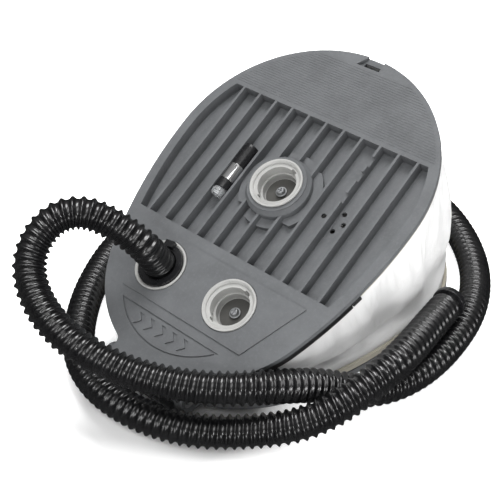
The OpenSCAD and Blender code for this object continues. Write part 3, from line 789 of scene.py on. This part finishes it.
def floor_material(name):
    """Pale floor that glows a little away from the pump's nose, as an overlit studio floor does."""
    mat, tree, shader = new_material(name)
    pale = ramp(tree, noise(tree, 4, 3), (0.3, 0.93), (0.7, 0.95))
    away = tree.nodes.new("ShaderNodeVectorMath")
    away.operation = "DISTANCE"
    tree.links.new(coordinates(tree), away.inputs[0])
    away.inputs[1].default_value = SHADE_CENTRE
    glow_from, glow_full = (SHADE_REACH, 0.0), (SHADE_REACH * SHADE_FADE, FLOOR_GLOW)
    wire(
        tree,
        shader,
        Base_Color=pale,
        Roughness=0.8,
        Emission_Color=pale,
        Emission_Strength=ramp(tree, away.outputs["Value"], glow_from, glow_full),
    )
    dim = tree.nodes.new("ShaderNodeEmission")
    wire(tree, dim, Strength=FLOOR_GLOSS)
    out = next(n for n in tree.nodes if n.type == "OUTPUT_MATERIAL")
    dim_in_reflections(tree, shader.outputs[0], dim.outputs[0], out)
    return mat


def build_floor():
    mesh = bpy.data.meshes.new("floor")
    corners = [(x * FLOOR_REACH, y * FLOOR_REACH, 0) for x, y in ((-1, -1), (1, -1), (1, 1), (-1, 1))]
    mesh.from_pydata(corners, [], [(0, 1, 2, 3)])
    mesh.materials.append(floor_material("pale_floor"))
    floor = bpy.data.objects.new("floor", mesh)
    scene.collection.objects.link(floor)


def build_room():
    """Room light: brighter near the horizon than overhead, and dim in reflections."""
    world = bpy.data.worlds.new("studio")
    scene.world = world
    world.use_nodes = True
    tree = world.node_tree
    tree.nodes.clear()
    out = tree.nodes.new("ShaderNodeOutputWorld")
    split = tree.nodes.new("ShaderNodeSeparateXYZ")
    tree.links.new(tree.nodes.new("ShaderNodeTexCoord").outputs["Generated"], split.inputs[0])
    height = split.outputs[2]
    room = tree.nodes.new("ShaderNodeBackground")
    wire(tree, room, Color=ramp(tree, height, (0.05, ROOM_HORIZON), (0.55, ROOM_TOP)))
    mirror = tree.nodes.new("ShaderNodeBackground")
    wire(tree, mirror, Color=ramp(tree, height, (0.1, 0.0), (0.9, ROOM_GLOSS)))
    dim_in_reflections(tree, room.outputs[0], mirror.outputs[0], out)


def area_light(name, place, aim, size, power):
    data = bpy.data.lights.new(name, "AREA")
    data.shape = "RECTANGLE"
    data.size, data.size_y = size
    data.energy = power
    lamp = bpy.data.objects.new(name, data)
    lamp.location = place
    lamp.rotation_euler = (Vector(aim) - Vector(place)).to_track_quat("-Z", "Y").to_euler()
    scene.collection.objects.link(lamp)


def build_lights():
    area_light("main_box", (-0.2, 0.62, 2.05), (0, 0.15, 0.05), (1.3, 1.0), 38)
    area_light("top_box", (0.15, -0.6, 1.5), (0, 0, 0.05), (1.5, 0.7), 10)
    area_light("front_box", (0.55, -1.3, 0.9), (0, 0, 0.05), (0.5, 0.25), 6)
    area_light("right_card", (1.1, -0.5, 0.16), (0.1, 0.15, 0.03), (0.9, 0.24), 4)


# ---------------------------------------------------------------------------- camera
CAMERA_AZIMUTH = math.radians(41.71)
CAMERA_ELEVATION = math.radians(37.65)
CAMERA_AIM = Vector((0.0113, 0.0958, 0.0790))
CAMERA_DISTANCE = 0.767
CAMERA_LENS = 76.26
SENSOR_WIDTH = 36


def build_camera():
    data = bpy.data.cameras.new("camera")
    data.lens = CAMERA_LENS
    data.sensor_width = SENSOR_WIDTH
    camera = bpy.data.objects.new("camera", data)
    back = Vector((
        math.sin(CAMERA_AZIMUTH) * math.cos(CAMERA_ELEVATION),
        -math.cos(CAMERA_AZIMUTH) * math.cos(CAMERA_ELEVATION),
        math.sin(CAMERA_ELEVATION),
    ))
    camera.location = CAMERA_AIM + back * CAMERA_DISTANCE
    camera.rotation_euler = (-back).to_track_quat("-Z", "Y").to_euler()
    scene.collection.objects.link(camera)
    scene.camera = camera


# ---------------------------------------------------------------------------- the scene
build_hose()
build_bellows()
build_return_spring()
build_relief_spring()
for cad_name in nodes:
    finish_cad_node(cad_name)
build_floor()
build_room()
build_lights()
build_camera()
scene.view_settings.view_transform = "Standard"
